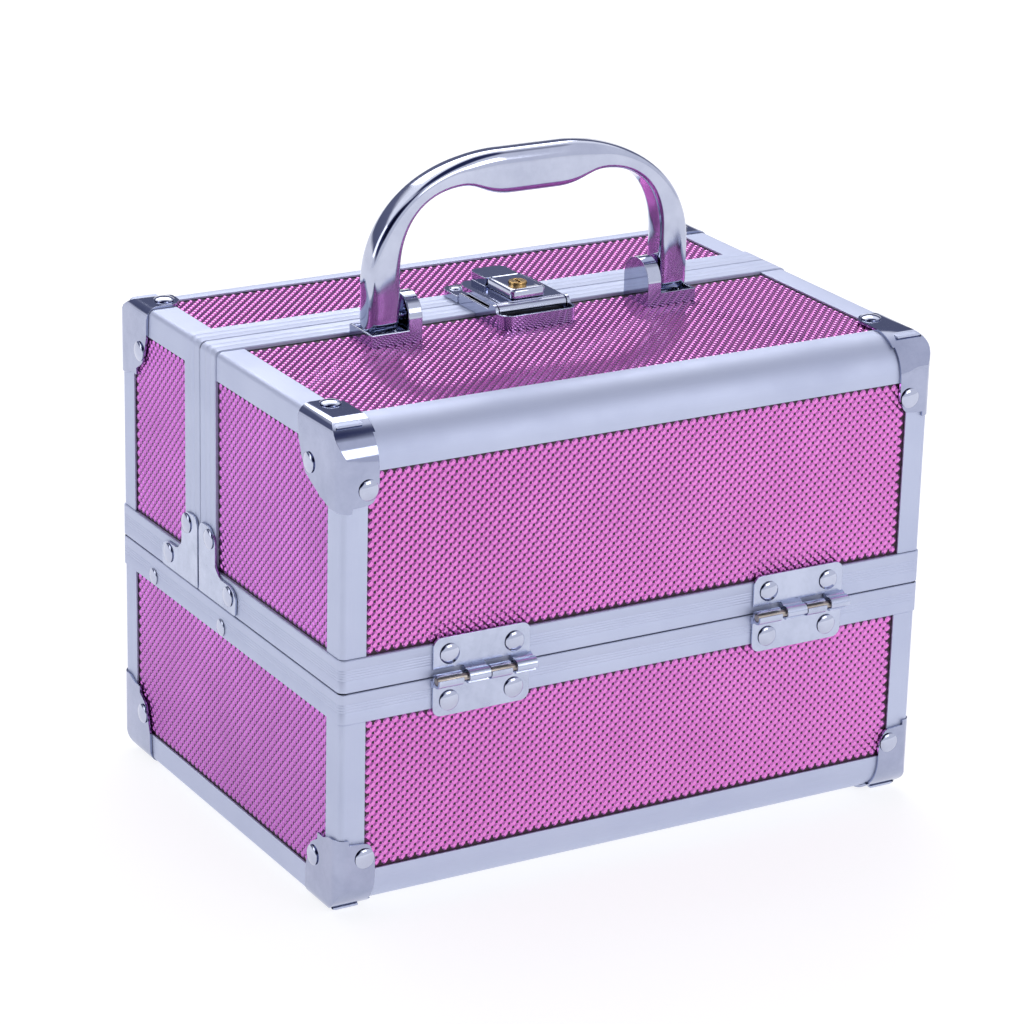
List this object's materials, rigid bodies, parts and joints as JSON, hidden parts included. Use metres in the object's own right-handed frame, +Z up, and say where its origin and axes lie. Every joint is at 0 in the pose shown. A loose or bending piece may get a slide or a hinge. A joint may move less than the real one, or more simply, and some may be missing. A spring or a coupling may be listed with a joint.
{
  "type": "makeup train case",
  "caption": "Box-shaped makeup train case with pink embossed panels in an aluminium frame; two folding lids with lift-out trays, an arched handle, corner caps and a hasp lock.",
  "frame": {"origin": "under the middle of the case, on the plane that the corner caps stand on", "axes": "+X along the case, -Y towards the larger front lid that carries the handle, +Z up"},
  "size_m": [0.2356, 0.1818, 0.2339],
  "materials": {
    "pink_panel": "embossed pink plastic facing laminated on thin board",
    "black_board": "plain black facing on thin board",
    "foam_liner": "black foam sheet",
    "aluminium_rail": "satin, finely ribbed along its length",
    "chrome": "bright plated",
    "satin_hinge": "satin plated",
    "plated_steel": "zinc plated",
    "black_plastic": "moulded, fine matt texture",
    "mirror": "silvered glass",
    "brass": "polished"
  },
  "bodies": {
    "base": {"base_belt_rail": "aluminium_rail", "base_corner_cap_front_left": "chrome", "base_corner_cap_front_right": "chrome", "base_corner_cap_rear_left": "chrome", "base_corner_cap_rear_right": "chrome", "base_edge_frame": "aluminium_rail", "base_end_panel_left": "pink_panel", "base_end_panel_right": "pink_panel", "base_floor_panel": "black_board", "base_front_panel": "pink_panel", "base_hinge_leaf_front_left": "satin_hinge", "base_hinge_leaf_front_right": "satin_hinge", "base_hinge_leaf_rear_left": "satin_hinge", "base_hinge_leaf_rear_right": "satin_hinge", "base_liner": "foam_liner", "base_rear_panel": "pink_panel"},
    "front_lid": {"front_lid_belt_rail": "aluminium_rail", "front_lid_centre_rail": "aluminium_rail", "front_lid_corner_cap_left": "chrome", "front_lid_corner_cap_right": "chrome", "front_lid_edge_frame": "aluminium_rail", "front_lid_end_panel_left": "pink_panel", "front_lid_end_panel_right": "pink_panel", "front_lid_front_panel": "pink_panel", "front_lid_hinge_leaf_left": "satin_hinge", "front_lid_hinge_leaf_right": "satin_hinge", "front_lid_joint_plate_left": "chrome", "front_lid_joint_plate_right": "chrome", "front_lid_liner": "foam_liner", "front_lid_top_panel": "pink_panel", "mirror_frame": "black_plastic", "mirror_glass": "mirror", "latch_base": "chrome", "handle_bracket_left": "chrome", "handle_bracket_right": "chrome"},
    "rear_lid": {"rear_lid_belt_rail": "aluminium_rail", "rear_lid_centre_rail": "aluminium_rail", "rear_lid_corner_cap_left": "chrome", "rear_lid_corner_cap_right": "chrome", "rear_lid_edge_frame": "aluminium_rail", "rear_lid_end_panel_left": "pink_panel", "rear_lid_end_panel_right": "pink_panel", "rear_lid_hinge_leaf_left": "satin_hinge", "rear_lid_hinge_leaf_right": "satin_hinge", "rear_lid_joint_plate_left": "chrome", "rear_lid_joint_plate_right": "chrome", "rear_lid_liner": "foam_liner", "rear_lid_rear_panel": "pink_panel", "rear_lid_top_panel": "pink_panel", "latch_keeper": "chrome"},
    "front_tray_arms": {"front_tray_arm_left": "plated_steel", "front_tray_arm_right": "plated_steel"},
    "rear_tray_arms": {"rear_tray_arm_left": "plated_steel", "rear_tray_arm_right": "plated_steel"},
    "front_tray": {"front_tray": "black_plastic"},
    "rear_tray": {"rear_tray": "black_plastic"},
    "handle": {"handle": "chrome"},
    "hasp": {"hasp": "chrome", "lock_body": "chrome"},
    "key": {"key_cylinder": "brass"}
  },
  "joints": [
    {"name": "front_lid_hinge", "type": "hinge", "parent": "base", "child": "front_lid", "pos_m": [0, -0.0884, 0.0815], "axis": [1, 0, 0], "range_deg": [0, 90]},
    {"name": "rear_lid_hinge", "type": "hinge", "parent": "base", "child": "rear_lid", "pos_m": [0, 0.0884, 0.0815], "axis": [-1, 0, 0], "range_deg": [0, 90]},
    {"name": "front_arm_pivot", "type": "hinge", "parent": "base", "child": "front_tray_arms", "pos_m": [0, -0.01, 0.0765], "axis": [1, 0, 0], "range_deg": [0, 90]},
    {"name": "rear_arm_pivot", "type": "hinge", "parent": "base", "child": "rear_tray_arms", "pos_m": [0, 0.048, 0.0765], "axis": [-1, 0, 0], "range_deg": [0, 90]},
    {"name": "front_tray_pivot", "type": "hinge", "parent": "front_lid", "child": "front_tray", "pos_m": [0, -0.066, 0.1255], "axis": [1, 0, 0], "range_deg": [-90, 0]},
    {"name": "rear_tray_pivot", "type": "hinge", "parent": "rear_lid", "child": "rear_tray", "pos_m": [0, 0.066, 0.1255], "axis": [-1, 0, 0], "range_deg": [-90, 0]},
    {"name": "handle_pivot", "type": "hinge", "parent": "front_lid", "child": "handle", "pos_m": [0, -0.0015, 0.1794], "axis": [1, 0, 0], "range_deg": [-74, 74]},
    {"name": "hasp_hinge", "type": "hinge", "parent": "front_lid", "child": "hasp", "pos_m": [0, -0.0045, 0.1763], "axis": [1, 0, 0], "range_deg": [0, 95]},
    {"name": "key_turn", "type": "hinge", "parent": "hasp", "child": "key", "pos_m": [0, 0.0043, 0.18], "axis": [0, 0, 1], "range_deg": [0, 90]}
  ],
  "couplings": [
    {"joint": "front_arm_pivot", "follows": "front_lid_hinge", "ratio": 1},
    {"joint": "front_tray_pivot", "follows": "front_lid_hinge", "ratio": -1},
    {"joint": "rear_arm_pivot", "follows": "rear_lid_hinge", "ratio": 1},
    {"joint": "rear_tray_pivot", "follows": "rear_lid_hinge", "ratio": -1}
  ]
}
